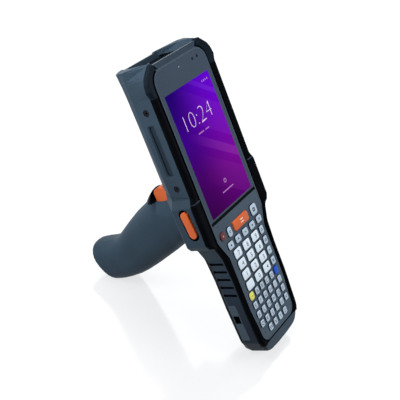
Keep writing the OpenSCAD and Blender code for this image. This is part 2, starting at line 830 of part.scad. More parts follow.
module power_key() color("#7d3a44") standing() keys(power_keys);
module function_key_left() color("#b4c6da") standing() keys([function_keys[0]]);
module function_key_right() color("#b4c6da") standing() keys([function_keys[1]]);
module scan_key() color("#eb8c50") standing() keys(scan_keys);
module top_key(i) color("#a0b5c7") standing() keys([top_row[i]]);
module number_key(i) color("#dcecfb") standing() keys([numbers[i]]);
module side_key(i) color("#a0b5c7") standing() keys([side_keys[i]]);
module yellow_key() color("#ebeb78") standing() keys([colour_keys[0]]);
module blue_key() color("#1f67e0") standing() keys([colour_keys[1]]);
module letter_row(i) color("#a0b5c7") standing() keys(letter_rows[i]);

module keymat() {
    color("#6a7076") standing() {
        layer(mat_top - mat_t, mat_top) intersection() {
            plate_shape(rim + 2.7);
            translate([-30, 3.4 - plate_end]) square([60, plate_end - 12.8]);
        }
        for (k = all_keys) translate([k[0], k[1], mat_top - 0.1]) cylinder(h = dome_h + 0.1, d = 3.4);
    }
}

module keypad_board() {
    z = keypad_board_z + keypad_board_t;
    color("#1f5a3c") standing() {
        layer(keypad_board_z, z) intersection() {
            plate_shape(rim + 2.9);
            translate([-30, 3.6 - plate_end]) square([60, plate_end - 13]);
        }
        translate([-8, -22, board_z]) cube([16, 4, keypad_board_z - board_z]);
    }
}

// --- Main board -----------------------------------------------------------------------------

module main_board() {
    x = cavity_x - 0.4;
    color("#1b4d36") standing() {
        translate([-x, 30, board_z - board_t]) cube([2 * x, board_top - 30, board_t]);
        translate([-18, board_end, board_z - board_t]) cube([36, 30 - board_end, board_t]);
        // processor shield, memory and radio cans, connector of the display
        translate([-20, 36, board_z]) cube([26, 24, 1.4]);
        translate([10, 40, board_z]) cube([14, 16, 1.2]);
        translate([-24, 66, board_z]) cube([18, 14, 1.3]);
        translate([-7, -6, board_z]) cube([14, 5, 1.2]);
        // spring contacts that reach into the slots of the battery
        for (x = contact_x) translate([x - 0.5, contact_y, bay_z - seam_gap - 0.3])
            cube([1, 3.4, board_z - board_t - bay_z + seam_gap + 0.4]);
    }
}

// --- Battery --------------------------------------------------------------------------------

module battery_pack() {
    color("#253746") standing() difference() {
        intersection() {
            housing_skin(battery_y0 - 2, battery_y1 + 2);
            battery_space(0);
        }
        translate([-4.3, battery_y0 - 1, -body_depth + 1.3]) cube([8.6, 3.4, 2]);
        for (x = contact_x) translate([x - 0.8, contact_y - 0.3, bay_z - seam_gap - 0.5]) cube([1.6, 4, 1]);
    }
}

module battery_latch() {
    color("#1b2832") standing() {
        translate([-8.2, latch_y - 3.2, -body_depth + 0.2]) cube([16.4, 6.4, 2.7]);
        for (k = [-1:1]) translate([-6, latch_y + k * 1.9 - 0.4, -body_depth - 0.2]) cube([12, 0.8, 0.5]);
        translate([-4, latch_y + 3, -body_depth + 1.6]) cube([8, battery_y0 - latch_y - 1, 1.3]);
    }
}

// --- Pistol grip ----------------------------------------------------------------------------

// Stations of the grip: front edge [y, z], back edge [y, z] and half-width
grip_top = -head_depth;
base_front = [-18.8, -152.2];
base_back = [-53.3, -137.6];
grip_stations = [
    [[13.4, grip_top], [-19, grip_top], 0.46],
    [[13, -47], [-24, -46.6], 0.475],
    [[12.8, -58], [-26.8, -52], 0.485],
    [[13.6, -63], [-29, -56.8], 0.49],
    [[20.4, -66], [-30.8, -60.6], 0.495],
    [[17, -70.4], [-32.7, -64.7], 0.5],
    [[11.2, -76.4], [-35.1, -69.8], 0.5],
    [[5, -89.1], [-38.9, -78.8], 0.5],
    [[-3.1, -102.6], [-43.8, -90.3], 0.5],
    [[-10.3, -113.6], [-48.1, -101.6], 0.5],
    [[-15, -120.9], [-51.4, -112.2], 0.5],
    [[-17.2, -127.6], [-53, -120.8], 0.505],
    [[-18, -135.4], [-53.8, -128], 0.51],
    [[-18.1, -144], [-54, -132.8], 0.515],
    [base_front + [0.3, 2], base_back + [-0.6, 2.2], 0.515],
    [base_front + [-1.6, 0.6], base_back + [1.6, -0.6], 0.475]
];
ring_steps = 14;
squareness = 0.84;

function sign_pow(a, e) = sign(a) * pow(abs(a), e);
function grip_ring(i) =
    let (
        f = grip_stations[i][0],
        b = grip_stations[i][1],
        c = (f + b) / 2,
        h = (f - b) / 2,
        g = grip_stations[i][2] * lerp(grip_w, base_w, max(0, i - 9) / 6)
    )
    [
        for (k = [0:ring_steps])
            let (
                t = 180 * k / ring_steps,
                p = c + h * sign_pow(cos(t), squareness)
            )
            [g * sign_pow(sin(t), squareness), p.x, p.y]
    ];

pocket_back = -7;         // hollow for trigger and switch
pocket_end = -66.6;
pin_at = [7, -42.4];

module grip_half() {
    skin([for (i = [0:len(grip_stations) - 1]) grip_ring(i)]);
}

module trigger_pocket() {
    w = grip_pocket_w / 2;
    across(-w, w) polygon([
        [pocket_back, grip_top + 1], [30, grip_top + 1], [30, pocket_end + 2], [14, pocket_end],
        [pocket_back, pocket_end]
    ]);
}

pin_l = grip_pocket_w + 5.4;
module pin_bore(d) {
    translate([-pin_l / 2 - 0.1, pin_at.x, pin_at.y]) rotate([0, 90, 0]) cylinder(h = pin_l + 0.2, d = d);
}

base_tilt = atan2(base_front.y - base_back.y, base_front.x - base_back.x);
base_mid = (base_front + base_back) / 2;
cap_size = [22, 26];
cap_t = 3;

// Children drawn with +Z out of the grip's base
module on_base() {
    translate([0, base_mid.x, base_mid.y]) rotate([base_tilt, 0, 0]) mirror([0, 0, 1]) children();
}

grip_screws = [[-17, -48], [-16, -86], [-36, -125]];
grip_screw_x = 3;         // depth of the screw heads' seats

module grip_screw_places() {
    for (p = grip_screws) translate([grip_screw_x, p.x, p.y]) rotate([0, 90, 0]) children();
}

module grip_left_shell() {
    color("#334757") standing() difference() {
        mirror([1, 0, 0]) grip_half();
        trigger_pocket();
        grip_screw_places() translate([0, 0, -7]) cylinder(h = 8, d = 2);
        pin_bore(pin_d + 0.06);
        on_base() layer(-cap_t - 0.05, 2) rounded_rect(cap_size.x + 0.2, cap_size.y + 0.2, 6);
    }
}

module grip_right_shell() {
    color("#334757") standing() difference() {
        grip_half();
        trigger_pocket();
        pin_bore(pin_d + 0.06);
        on_base() layer(-cap_t - 0.05, 2) rounded_rect(cap_size.x + 0.2, cap_size.y + 0.2, 6);
        grip_screw_places() {
            cylinder(h = grip_w, d = head_d + 0.6);
            translate([0, 0, -7]) cylinder(h = 8, d = 2);
        }
    }
}

module grip_base_cap() {
    color("#1e2c37") standing() on_base() layer(-cap_t, 0) rounded_rect(cap_size.x, cap_size.y, 6);
}

// --- Trigger --------------------------------------------------------------------------------

hub_r = 4;
spring_slot = 5.4;
finger_r = 12;            // hollow of the finger in the trigger's front
finger_at = [33, -50];

module trigger() {
    w = trigger_w / 2;
    color("#ea8440") standing() difference() {
        across(-w, w) difference() {
            polygon([
                pin_at + [-hub_r, -1.6], pin_at + [-hub_r, 1.6], pin_at + [-1.6, hub_r],
                [19, pin_at.y + hub_r],
                [21.6, -41], [22.4, -50], [22, -58], [20.8, -61.4], [18.8, -63], [9.4, -63], [7.2, -61],
                [6, -54], [5, -48]
            ]);
            translate(finger_at) circle(finger_r);
        }
        pin_bore(pin_d + 2 * pin_fit);
        translate([-spring_slot / 2, 0, pin_at.y - hub_r - 0.4])
            cube([spring_slot, pin_at.x + hub_r + 0.4, 14]);
    }
}

module trigger_pin() {
    color("silver") standing() translate([-pin_l / 2, pin_at.x, pin_at.y]) rotate([0, 90, 0])
        cylinder(h = pin_l, d = pin_d);
}

// Coil round the pin with one leg on the trigger and the other on the wall behind it
module trigger_spring() {
    wire = 0.7;
    r = pin_d / 2 + 0.3 + wire;
    half = spring_slot / 2 - 0.6;
    color("gray") standing() {
        translate([-half, pin_at.x, pin_at.y]) rotate([0, 90, 0]) difference() {
            cylinder(h = 2 * half, r = r);
            translate([0, 0, -1]) cylinder(h = 2 * half + 2, r = r - wire);
        }
        translate([half - wire, pin_at.x + r - wire, pin_at.y - hub_r - 0.35]) cube([wire, wire, hub_r]);
        translate([-half, pocket_back, pin_at.y + r - wire]) cube([wire, pin_at.x - pocket_back, wire]);
    }
}

switch_at = -57;          // height of the switch's plunger

module trigger_switch() {
    w = grip_pocket_w / 2 - 0.3;
    color("#15181c") standing() {
        translate([-w, pocket_back, switch_at - 4]) cube([2 * w, 6, 9]);
        translate([-1.5, pocket_back + 6, switch_at - 1.5]) cube([3, 3.6, 3]);
    }
}

// --- Screws ---------------------------------------------------------------------------------

screw_h = 1.6;
module screw() {
    difference() {
        union() {
            cylinder(h = screw_h, d = head_d);
            translate([0, 0, -5.5]) cylinder(h = 5.6, d = 2);
        }
        translate([0, 0, screw_h - 0.9]) cylinder(h = 2, d = 2, $fn = 6);
    }
}

module screws() {
    color("#14181d") standing() {
        side_screw_places() translate([0, 0, -1.9]) screw();
        grip_screw_places() screw();
    }
}

// --- Standing pose --------------------------------------------------------------------------

// The line that touches the heel of the grip and the rounded end of the keypad part is level
toe_mid = [toe_r - body_end, toe_r - body_depth];
function contact_angle(p) = atan2(p.y - toe_mid.y, p.x - toe_mid.x) - acos(toe_r / norm(p - toe_mid));
heel_angles = [for (st = grip_stations) contact_angle(st[1])];
heel = grip_stations[search(min(heel_angles), heel_angles)[0]][1];
lean = -90 - contact_angle(heel);
tip = base_front;
stand_z = -(heel.x * sin(lean) + heel.y * cos(lean));
far_y = tip.x * cos(lean) - tip.y * sin(lean);
near_y = -body_end * cos(lean);
stand_y = -(far_y + near_y) / 2;

module standing() {
    translate([0, stand_y, stand_z]) rotate([lean, 0, 0]) children();
}

// --- Nodes ----------------------------------------------------------------------------------

power_key();
function_key_left();
scan_key();
function_key_right();
top_key(0);  // top_key_1
top_key(1);  // top_key_2
top_key(2);  // top_key_3
top_key(3);  // top_key_4
top_key(4);  // top_key_5
number_key(0);  // number_key_7
number_key(1);  // number_key_8
number_key(2);  // number_key_9
number_key(3);  // number_key_4
number_key(4);  // number_key_5
number_key(5);  // number_key_6
number_key(6);  // number_key_1
number_key(7);  // number_key_2
number_key(8);  // number_key_3
number_key(9);  // number_key_left
number_key(10);  // number_key_0
number_key(11);  // number_key_right
side_key(0);  // side_key_1
side_key(1);  // side_key_2
side_key(2);  // side_key_3
side_key(3);  // side_key_4
yellow_key();
blue_key();
letter_row(0);  // letter_row_1
letter_row(1);  // letter_row_2
letter_row(2);  // letter_row_3
letter_row(3);  // letter_row_4
letter_row(4);  // letter_row_5
head_cover();
body_housing();
front_bezel();
display_glass();
front_lenses();
display_module();
keypad_plate();
keymat();
keypad_board();
main_board();
bumper_left();
bumper_right();
scan_window();
scan_engine();
rear_camera();
side_button_left();
side_button_right();
port_insert();
battery_pack();
battery_latch();
grip_left_shell();
grip_right_shell();
grip_base_cap();
trigger();
trigger_pin();
trigger_spring();
trigger_switch();
screws();
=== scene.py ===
import json
import math
import bmesh
import bpy
from mathutils import Matrix, Vector
from mathutils.bvhtree import BVHTree


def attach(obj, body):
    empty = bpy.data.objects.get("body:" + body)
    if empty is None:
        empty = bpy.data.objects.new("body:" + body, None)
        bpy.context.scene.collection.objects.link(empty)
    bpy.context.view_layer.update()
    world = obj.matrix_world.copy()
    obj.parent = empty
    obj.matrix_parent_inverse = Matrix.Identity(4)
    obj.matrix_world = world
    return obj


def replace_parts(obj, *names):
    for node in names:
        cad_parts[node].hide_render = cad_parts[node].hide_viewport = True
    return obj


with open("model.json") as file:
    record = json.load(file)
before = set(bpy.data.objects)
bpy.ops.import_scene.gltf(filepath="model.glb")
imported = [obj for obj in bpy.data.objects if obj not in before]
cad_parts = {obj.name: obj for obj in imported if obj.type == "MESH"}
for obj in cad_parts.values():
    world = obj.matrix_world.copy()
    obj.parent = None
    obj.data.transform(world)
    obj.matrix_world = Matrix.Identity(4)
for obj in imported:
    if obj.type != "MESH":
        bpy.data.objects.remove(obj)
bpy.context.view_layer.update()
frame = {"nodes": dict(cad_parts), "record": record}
nodes = frame["nodes"]
record = frame["record"]
collection = bpy.context.scene.collection

# The terminal is drawn lying on its back, in millimetres: X across, Y towards the head, Z out
# of the display. STAND turns it into its standing pose, in metres.
LEAN = math.radians(60.76440325574687)
STAND_AT = Vector((0, -32.99959304858462, 113.1640120950545))
STAND = (
    Matrix.Scale(0.001, 4) @ Matrix.Translation(STAND_AT) @ Matrix.Rotation(LEAN, 4, "X")
)
LIE = STAND.inverted()

# --- Camera, floor and light ---------------------------------------------------------------

IMAGE_WIDTH = 400       # pixels
FOCAL_LENGTH = 860.594  # pixels
SENSOR = 36             # mm
# The camera's axes in the terminal's, and the terminal's origin as the camera has it.
CAMERA_RIGHT = Vector((0.52359079, -0.35409842, 0.77489805))
CAMERA_DOWN = Vector((-0.44608671, -0.88883878, -0.10474864))
CAMERA_AHEAD = Vector((0.72585076, -0.29082629, -0.6233464))
ORIGIN_SEEN = Vector((23.7554123, 1.05598571, 632.728481))

ROOM_LIGHT = 0.11
LIGHTS_AIM = (0, 0, 0.11)
LAMPS = (   # name, place, size in metres, watts
    ("key_light", (-0.20, 0.12, 0.33), (0.16, 0.16), 0.85),
    ("front_light", (0.3, -1.0, 0.95), (0.7, 0.7), 11),
    ("rim_light", (-0.5, 0.5, 0.3), (0.25, 0.4), 1.2),
    ("top_light", (0.1, 0.2, 1.3), (0.6, 0.6), 7),
)

FLOOR_RADIUS = 8
FLOOR_PAINT = [(0.3, (116, 118, 120)), (0.7, (120, 122, 124))]
FLOOR_SEEN = (250, 251, 252)
FLOOR_GLOW = 0.76


def link(name, data):
    ob = bpy.data.objects.new(name, data)
    collection.objects.link(ob)
    return ob


def make_camera():
    data = bpy.data.cameras.new("camera")
    data.sensor_width = SENSOR
    data.lens = FOCAL_LENGTH / IMAGE_WIDTH * SENSOR
    data.clip_start, data.clip_end = 0.01, 100
    ob = link("camera", data)
    place = -(
        CAMERA_RIGHT * ORIGIN_SEEN.x + CAMERA_DOWN * ORIGIN_SEEN.y + CAMERA_AHEAD * ORIGIN_SEEN.z
    )
    axes = Matrix((CAMERA_RIGHT, -CAMERA_DOWN, -CAMERA_AHEAD)).transposed().to_4x4()
    turn = Matrix.Rotation(LEAN, 4, "X") @ axes
    ob.matrix_world = Matrix.Translation(STAND @ place) @ turn
    bpy.context.scene.camera = ob


def area_light(name, at, size, watts):
    data = bpy.data.lights.new(name, "AREA")
    data.shape, data.size, data.size_y = "RECTANGLE", size[0], size[1]
    data.energy = watts
    ob = link(name, data)
    ob.location = at
    ahead = Vector(LIGHTS_AIM) - Vector(at)
    ob.rotation_euler = ahead.to_track_quat("-Z", "Y").to_euler()


def linear(rgb):
    """Linear colour of an 0-255 display colour."""
    return [
        c / 255 / 12.92 if c / 255 <= 0.04045 else ((c / 255 + 0.055) / 1.055) ** 2.4
        for c in rgb
    ] + [1]


def seen_directly(tree):
    """1 for what the camera sees itself, in a gloss or through glass, else 0."""
    path = tree.nodes.new("ShaderNodeLightPath")
    found = path.outputs["Is Camera Ray"]
    for name in ("Is Glossy Ray", "Is Transmission Ray"):
        either = tree.nodes.new("ShaderNodeMath")
        either.operation = "MAXIMUM"
        tree.links.new(found, either.inputs[0])
        tree.links.new(path.outputs[name], either.inputs[1])
        found = either.outputs[0]
    return found


def make_world():
    """White where it is seen, and a plain level of light for the rest."""
    world = bpy.data.worlds.new("studio")
    world.use_nodes = True
    tree = world.node_tree
    back = tree.nodes["Background"]
    back.inputs["Color"].default_value = (1, 1, 1, 1)
    level = tree.nodes.new("ShaderNodeMapRange")
    level.inputs["To Min"].default_value = ROOM_LIGHT
    level.inputs["To Max"].default_value = 1
    tree.links.new(seen_directly(tree), level.inputs["Value"])
    tree.links.new(level.outputs["Result"], back.inputs["Strength"])
    bpy.context.scene.world = world


def make_floor():
    """Pale polished floor that keeps the shadow and a soft reflection."""
    bm = bmesh.new()
    bmesh.ops.create_circle(bm, cap_ends=True, segments=96, radius=FLOOR_RADIUS)
    mesh = bpy.data.meshes.new("floor")
    bm.to_mesh(mesh)
    bm.free()
    m = Nodes("floor_paint")
    m.colour(m.ramp(m.noise(m.object_coordinates(), 3, 2), FLOOR_PAINT))
    m.set("Roughness", 0.13)
    m.set("IOR", 1.8)
    m.set("Specular IOR Level", 0.9)
    m.set("Emission Color", linear(FLOOR_SEEN))
    m.set("Emission Strength", m.math("MULTIPLY", seen_directly(m.tree), FLOOR_GLOW))
    mesh.materials.append(m.material)
    link("floor", mesh)


def make_studio():
    make_world()
    make_floor()
    for name, at, size, watts in LAMPS:
        area_light(name, at, size, watts)
    bpy.context.scene.view_settings.view_transform = "Standard"


# --- Materials -----------------------------------------------------------------------------

GRAIN = 2400    # noise scales, in cells per metre: moulding grain,
CLOUDS = 38     # and the slow changes of colour in moulded plastic
CHIN_SHADE_Y = (-24, -98)   # painted shade: the neck is painted darker from the first to the second


class Nodes:
    """A material and short calls that add its nodes."""

    def __init__(self, name):
        self.material = bpy.data.materials.new(name)
        self.material.use_nodes = True
        self.tree = self.material.node_tree
        self.shader = self.tree.nodes["Principled BSDF"]

    def add(self, kind, **inputs):
        node = self.tree.nodes.new(kind)
        for key, value in inputs.items():
            self.put(node.inputs[key], value)
        return node

    def put(self, socket, value):
        if isinstance(value, bpy.types.NodeSocket):
            self.tree.links.new(value, socket)
        else:
            socket.default_value = value

    def set(self, name, value):
        self.put(self.shader.inputs[name], value)

    def colour(self, socket):
        self.set("Base Color", socket)

    def object_coordinates(self):
        return self.add("ShaderNodeTexCoord").outputs["Object"]

    def device_coordinates(self):
        """Millimetres in the terminal's own axes."""
        node = self.add("ShaderNodeMapping", Vector=self.object_coordinates())
        unturn = Matrix.Rotation(-LEAN, 4, "X")
        node.inputs["Scale"].default_value = (1000, 1000, 1000)
        node.inputs["Rotation"].default_value = (-LEAN, 0, 0)
        node.inputs["Location"].default_value = unturn @ -STAND_AT
        return self.add("ShaderNodeSeparateXYZ", Vector=node.outputs["Vector"]).outputs

    def noise(self, vector, scale, detail=2.0):
        node = self.add("ShaderNodeTexNoise", Vector=vector, Scale=scale, Detail=detail)
        return node.outputs["Fac"]

    def ramp(self, value, stops):
        node = self.add("ShaderNodeValToRGB", Fac=value)
        for stop, (at, rgb) in zip(node.color_ramp.elements, (stops[0], stops[-1])):
            stop.position, stop.color = at, linear(rgb)
        for at, rgb in stops[1:-1]:
            node.color_ramp.elements.new(at).color = linear(rgb)
        return node.outputs["Color"]

    def math(self, operation, a, b, c=0.0):
        node = self.tree.nodes.new("ShaderNodeMath")
        node.operation = operation
        for socket, value in zip(node.inputs, (a, b, c)):
            self.put(socket, value)
        return node.outputs[0]

    def mix(self, factor, a, b):
        node = self.tree.nodes.new("ShaderNodeMix")
        node.data_type = "RGBA"
        sockets = node.inputs[0], node.inputs[6], node.inputs[7]
        for socket, value in zip(sockets, (factor, a, b)):
            self.put(socket, value)
        return node.outputs[2]

    def span(self, value, low, high, smooth=False):
        """0 at low, 1 at high."""
        node = self.add("ShaderNodeMapRange", Value=value)
        node.interpolation_type = "SMOOTHSTEP" if smooth else "LINEAR"
        node.inputs["From Min"].default_value = low
        node.inputs["From Max"].default_value = high
        return node.outputs["Result"]

    def roughness(self, socket, low, high):
        node = self.add("ShaderNodeMapRange", Value=socket)
        node.inputs["To Min"].default_value = low
        node.inputs["To Max"].default_value = high
        self.set("Roughness", node.outputs["Result"])

    def bump(self, height, strength, distance):
        node = self.add("ShaderNodeBump", Height=height, Strength=strength, Distance=distance)
        self.set("Normal", node.outputs["Normal"])


def moulded(name, rgb, rough=(0.42, 0.58), bump=0.3, spread=0.1, specular=0.1, chin=None):
    """Moulded plastic: fine grain, slightly uneven colour and gloss.

    With chin, the colour turns to that one from the hip down to the chin: painted shade, darker
    towards the bottom.
    """
    m = Nodes(name)
    at = m.object_coordinates()
    fine = m.noise(at, GRAIN, 3)
    broad = m.noise(at, CLOUDS, 3)
    dark = [c * (1 - spread) for c in rgb]
    light = [min(255, c * (1 + spread)) for c in rgb]
    mottle = m.math("MULTIPLY_ADD", fine, 0.45, m.math("MULTIPLY", broad, 0.55))
    paint = m.ramp(mottle, [(0.32, dark), (0.5, rgb), (0.68, light)])
    # Painted shade: darker from the hip down to the chin.
    if chin:
        along = m.device_coordinates()["Y"]
        paint = m.mix(m.span(along, *CHIN_SHADE_Y, True), paint, linear(chin))
    m.colour(paint)
    gloss = m.math("MULTIPLY_ADD", broad, 0.6, m.math("MULTIPLY", fine, 0.4))
    m.roughness(gloss, *rough)
    m.bump(fine, bump, 0.00004)
    m.set("Specular IOR Level", specular)
    return m.material


def rubber(name, rgb):
    m = Nodes(name)
    at = m.object_coordinates()
    fine = m.noise(at, 1900, 4)
    m.colour(m.ramp(m.noise(at, 60, 4), [(0.3, rgb), (0.75, [c + 5 for c in rgb])]))
    m.roughness(fine, 0.5, 0.7)
    m.bump(fine, 0.3, 0.00005)
    m.set("Specular IOR Level", 0.012)
    return m.material


def metal(name, rgb, rough):
    m = Nodes(name)
    at = m.object_coordinates()
    m.colour(m.ramp(m.noise(at, 700, 3), [(0.3, [c * 0.85 for c in rgb]), (0.7, rgb)]))
    m.roughness(m.noise(at, 1500, 2), rough, rough + 0.15)
    m.set("Metallic", 1)
    return m.material


def glass(name, rgb):
    """Dark window: a deep, slightly uneven colour behind a faint gloss."""
    m = Nodes(name)
    at = m.object_coordinates()
    m.colour(m.ramp(m.noise(at, 25, 2), [(0.3, [c * 0.8 for c in rgb]), (0.7, rgb)]))
    m.roughness(m.noise(at, 400, 2), 0.25, 0.33)
    m.set("Specular IOR Level", 0.02)
    return m.material


def board(name):
    """Circuit board: green lacquer with paler tracks."""
    m = Nodes(name)
    at = m.object_coordinates()
    cells = m.add("ShaderNodeTexVoronoi", Vector=at, Scale=420.0)
    cells.distance = "MANHATTAN"
    tracks = cells.outputs["Distance"]
    m.colour(m.ramp(tracks, [(0.05, (70, 110, 70)), (0.2, (24, 78, 52)), (0.8, (18, 62, 42))]))
    m.roughness(m.noise(at, 900, 2), 0.25, 0.45)
    m.bump(tracks, 0.2, 0.0001)
    return m.material


def lit(m, paint, strength, rest, specular):
    """Finishes a lit surface; rest is the share of the paint that stays when unlit."""
    m.set("Emission Color", paint)
    m.set("Emission Strength", strength)
    m.colour(m.mix(1 - rest, paint, linear((0, 0, 0))))
    m.set("Specular IOR Level", specular)
    return m.material


def glow(name, rgb, strength):
    """Lit figures and lights."""
    m = Nodes(name)
    at = m.object_coordinates()
    m.roughness(m.noise(at, 300, 2), 0.25, 0.35)
    paint = m.ramp(m.noise(at, 200, 2), [(0.3, [c * 0.96 for c in rgb]), (0.7, rgb)])
    return lit(m, paint, strength, 0.2, 0.05)


SCREEN_LEFT = [(0, (54, 0, 70)), (0.3, (66, 0, 98)), (0.62, (58, 0, 132)), (1, (26, 0, 102))]
SCREEN_RIGHT = [
    (0, (92, 0, 116)), (0.3, (118, 8, 146)), (0.62, (112, 2, 178)), (1, (98, 4, 210))
]
SCREEN_BANDS = (   # low and high side along the slant, share of the tint, tint
    (10, 30, 0.14, (150, 44, 164)),
    (36, 43, 0.20, (176, 70, 190)),
    (50, 72, 0.14, (140, 50, 216)),
    (78, 82, 0.18, (146, 62, 232)),
)


def screen_picture():
    """Lit display: an indigo to magenta gradient with soft slanting bands."""
    m = Nodes("screen_picture")
    place = m.device_coordinates()
    x, y = place["X"], place["Y"]
    across = m.span(m.span(x, -28.1, 28.1), 0, 1, True)
    up = m.span(y, 0, 93.7)
    paint = m.mix(across, m.ramp(up, SCREEN_LEFT), m.ramp(up, SCREEN_RIGHT))
    slant = m.math("MULTIPLY_ADD", x, 0.55, m.math("MULTIPLY", y, 0.835))
    for low, high, strength, tint in SCREEN_BANDS:
        band = m.math(
            "MULTIPLY",
            m.span(slant, low, low + 0.5, True),
            m.span(slant, high, high - 0.5, True),
        )
        fade = m.math("MULTIPLY", m.span(x, -24, 26, True), strength)
        paint = m.mix(m.math("MULTIPLY", band, fade), paint, linear(tint))
    m.roughness(m.noise(m.object_coordinates(), 300, 2), 0.25, 0.32)
    return lit(m, paint, 0.97, 0.03, 0.005)


def cap(name, rgb, rough=(0.3, 0.42), spread=0.05, specular=0.2):
    """Plastic of a key or button, glossier than the housing."""
    return moulded(name, rgb, rough, spread=spread, specular=specular)


MATERIALS = {
    "housing_plastic": moulded("housing_plastic", (44, 60, 74)),
    "grip_plastic": moulded("grip_plastic", (46, 63, 77), (0.48, 0.62)),
    "front_plastic": moulded("front_plastic", (66, 81, 95), (0.36, 0.5)),
    "bumper_rubber": rubber("bumper_rubber", (3, 4, 7)),
    "cover_glass": moulded("cover_glass", (56, 70, 86), (0.24, 0.32), bump=0.02, spread=0.03),
    "dark_window": glass("dark_window", (3, 4, 8)),
    "black_plastic": moulded("black_plastic", (8, 10, 14)),
    "mat_silicone": moulded("mat_silicone", (12, 17, 23), (0.55, 0.7), bump=0.1),
    "circuit_board": board("circuit_board"),
    "steel": metal("steel", (168, 172, 176), 0.25),
    "dark_steel": metal("dark_steel", (30, 34, 38), 0.35),
    "orange_plastic": cap("orange_plastic", (208, 98, 50), (0.34, 0.46), spread=0.04),
    "red_key": cap("red_key", (90, 34, 44), spread=0.06, specular=0.25),
    "yellow_key_cap": cap("yellow_key_cap", (228, 224, 112), spread=0.03),
    "blue_key_cap": cap("blue_key_cap", (8, 80, 200)),
    "number_key_cap": cap("number_key_cap", (222, 236, 250), (0.28, 0.4), spread=0.02),
    "small_key_cap": cap("small_key_cap", (180, 199, 218), spread=0.03),
}

# Paints that cover only a part of a node.
PRINT = moulded("key_print", (22, 30, 44), (0.4, 0.5), spread=0.04)
PALE_PRINT = moulded("pale_print", (246, 226, 214), (0.4, 0.5), spread=0.02)
# Painted shade on the sides of key caps.
SKIRT_SHADE = moulded("key_skirt_shade", (13, 20, 28), (0.5, 0.6))
# Black for painted shade in slots, ribs, recesses and on the frame's walls, and for the cover
# glass's printed border, the groove and the lip under the trigger.
BLACK_SHADE_AND_PRINT = moulded("black_shade_and_print", (2, 3, 6), (0.5, 0.6), specular=0.03)
NAVY = moulded("navy_rubber", (14, 24, 33), (0.55, 0.7), specular=0.04)
# Painted shade in and round the slot in the head's wall.
WALL_SLOT_SHADE = moulded("wall_slot_shade", (26, 39, 51), (0.5, 0.62))
# Housing plastic with painted shade, darker towards the chin.
NECK = moulded("neck_plastic_shaded", (42, 58, 72), chin=(13, 27, 41))
BAR = moulded("bar_plastic", (44, 58, 73), (0.36, 0.5))
SENSOR_WINDOW = glass("sensor_window", (30, 40, 54))
STATUS_LIGHT = glow("status_light", (168, 184, 196), 0.5)
SCREEN_WHITE = glow("screen_white", (246, 214, 240), 0.86)
SCREEN_DIM = glow("screen_dim", (196, 130, 204), 0.7)

SLOT = {part["node"]: part["material_slot"] for part in record["subparts"]}
BODY = {
    node: body for body, held in record["behaviour"]["bodies"].items() for node in held
}


def paint_nodes():
    for node, slot in SLOT.items():
        materials = nodes[node].data.materials
        materials.clear()
        materials.append(SENSOR_WINDOW if node == "front_lenses" else MATERIALS[slot])


# --- Mesh helpers --------------------------------------------------------------------------


def piece(name, bm, paints, body="housing", smooth=None):
    """An object from a bmesh in the terminal's millimetres; smooth is an angle in degrees."""
    mesh = bpy.data.meshes.new(name)
    bm.to_mesh(mesh)
    bm.free()
    mesh.transform(STAND)
    for paint in paints:
        mesh.materials.append(paint)
    if smooth is not None:
        mesh.shade_smooth()
        mesh.set_sharp_from_angle(angle=math.radians(smooth))
    ob = link(name, mesh)
    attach(ob, body)
    return ob


def node_bmesh(node):
    """Copy of a CAD node's mesh, lying down, in millimetres."""
    bm = bmesh.new()
    bm.from_mesh(nodes[node].data)
    bmesh.ops.transform(bm, matrix=LIE, verts=bm.verts)
    return bm


MERGE = 0.004      # mm
SHARP = 30         # degrees: edges above this are rounded


def soften(node, name, others=(), choose=None, cuts=(), edge=0.35, flat=1.5):
    """Piece that stands for a CAD node, with rounded edges and even shading.

    choose(centre, normal) gives the paint of a face: 0 is the node's own, and 1 and 2 are
    those in others. Faces are first split at the cuts. edge is the width of the rounding in
    millimetres, and flat the angle in degrees up to which faces are joined.
    """
    bm = node_bmesh(node)
    bmesh.ops.remove_doubles(bm, verts=bm.verts, dist=MERGE)
    bmesh.ops.dissolve_degenerate(bm, dist=MERGE, edges=bm.edges)
    for at, normal in cuts:
        everything = bm.verts[:] + bm.edges[:] + bm.faces[:]
        bmesh.ops.bisect_plane(bm, geom=everything, dist=0.001, plane_co=at, plane_no=normal)
    for face in bm.faces:
        face.normal_update()
        face.material_index = choose(face.calc_center_median(), face.normal) if choose else 0
    bmesh.ops.dissolve_limit(
        bm, angle_limit=math.radians(flat), verts=bm.verts, edges=bm.edges,
        delimit={"MATERIAL"},
    )
    paints = [MATERIALS[SLOT[node]], *others]
    ob = piece(name, bm, paints, body=BODY[node], smooth=SHARP)
    soft = ob.modifiers.new("soft_edges", "BEVEL")
    soft.width, soft.segments, soft.profile = edge / 1000, 2, 0.5
    soft.limit_method, soft.angle_limit = "ANGLE", math.radians(SHARP)
    soft.miter_outer = "MITER_ARC"
    normals = ob.modifiers.new("even_shading", "WEIGHTED_NORMAL")
    normals.keep_sharp, normals.mode = True, "FACE_AREA_WITH_ANGLE"
    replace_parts(ob, node)


def cuts_across(axis, *places):
    """Planes square to an axis, for soften."""
    normal = Vector([float(name == axis) for name in "XYZ"])
    return [(normal * place, normal) for place in places]


def wall_finder(node, z):
    """Gives the half-width of a node's side wall at y, measured at the height z."""
    bm = node_bmesh(node)
    tree = BVHTree.FromBMesh(bm)
    bm.free()

    def wall(y):
        hit = tree.ray_cast(Vector((80, y, z)), Vector((-1, 0, 0)))[0]
        return hit.x if hit else 0

    return wall


def inside(value, span):
    return span[0] < value < span[1]


